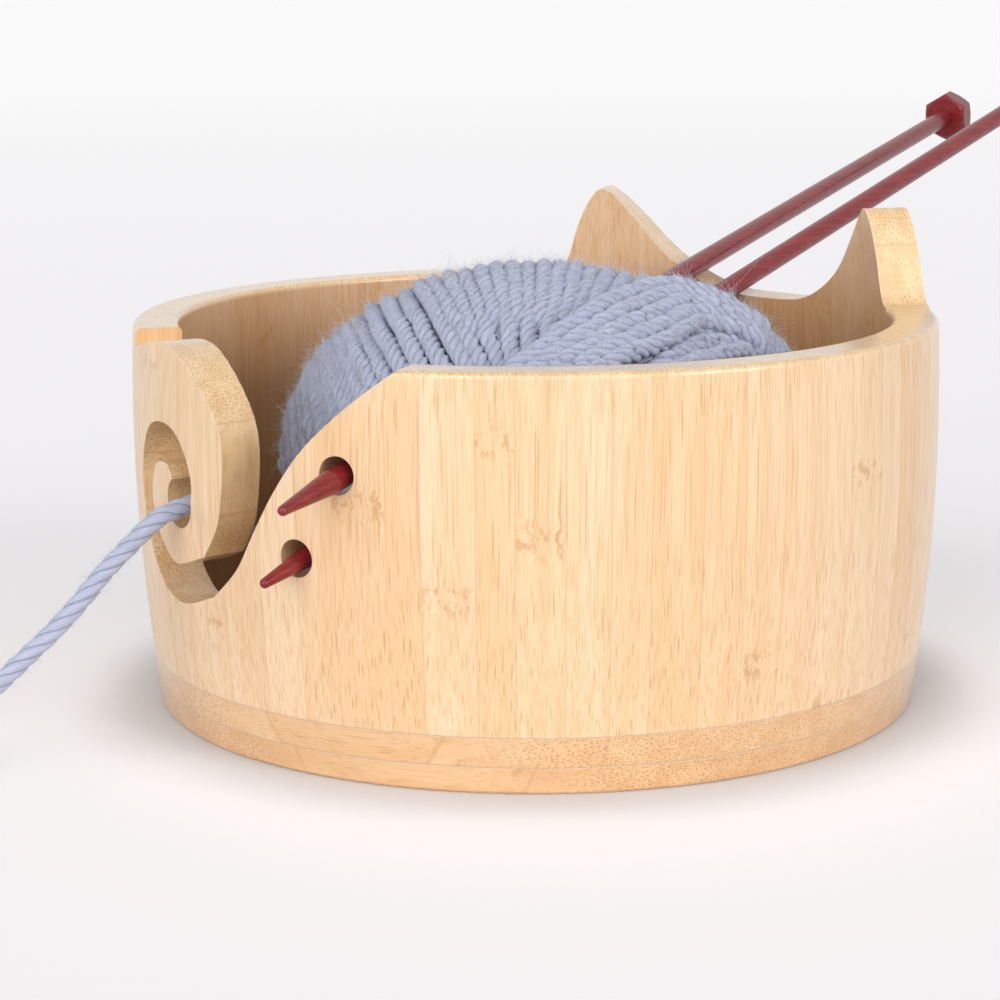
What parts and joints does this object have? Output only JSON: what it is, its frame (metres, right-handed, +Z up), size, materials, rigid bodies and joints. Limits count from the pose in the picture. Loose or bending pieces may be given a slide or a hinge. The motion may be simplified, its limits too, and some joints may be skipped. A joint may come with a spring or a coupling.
{
  "type": "yarn bowl",
  "caption": "Round bamboo yarn bowl with a spiral yarn guide, needle holes and pointed ears at the back, holding a skein of yarn and knitting needles.",
  "frame": {"origin": "middle of the underside of the base, on the table", "axes": "+Z is up; -Y is the front, where the spiral yarn guide is; +Y is the back, where the ears stand; +X is to the right, seen from the front"},
  "size_m": [0.1702, 0.4065, 0.1219],
  "materials": {
    "bamboo": "satin lacquer over blond bamboo strips",
    "painted_needle": "satin burgundy stain",
    "yarn": "soft plied wool, periwinkle blue"
  },
  "bodies": {
    "bowl": {"base_lower_ply": "bamboo", "base_upper_ply": "bamboo", "spiral_panel": "bamboo", "needle_panel": "bamboo", "right_stave_1": "bamboo", "left_stave_1": "bamboo", "right_stave_2": "bamboo", "left_stave_2": "bamboo", "right_stave_3": "bamboo", "left_stave_3": "bamboo", "right_stave_4": "bamboo", "left_stave_4": "bamboo", "right_stave_5": "bamboo", "left_stave_5": "bamboo", "right_stave_6": "bamboo", "left_stave_6": "bamboo", "right_stave_7": "bamboo", "left_stave_7": "bamboo", "right_stave_8": "bamboo", "left_stave_8": "bamboo", "right_stave_9": "bamboo", "left_stave_9": "bamboo", "ear_stave_1": "bamboo", "ear_stave_2": "bamboo", "ear_stave_3": "bamboo", "ear_stave_4": "bamboo", "ear_stave_5": "bamboo", "ear_stave_6": "bamboo", "ear_stave_7": "bamboo", "yarn_skein": "yarn", "yarn_lead": "yarn", "yarn_tail": "yarn", "yarn_coil": "yarn"},
    "needle_1": {"needle_1_shaft": "painted_needle", "needle_1_head": "painted_needle"},
    "needle_2": {"needle_2_shaft": "painted_needle", "needle_2_head": "painted_needle"}
  },
  "joints": [
    {"name": "needle_1_slide", "type": "slide", "parent": "bowl", "child": "needle_1", "axis": [-0.282, 0.9484, 0.1447], "range_m": [-0.1, 0.18]},
    {"name": "needle_2_slide", "type": "slide", "parent": "bowl", "child": "needle_2", "axis": [-0.1535, 0.9618, 0.2264], "range_m": [-0.1, 0.18]}
  ]
}
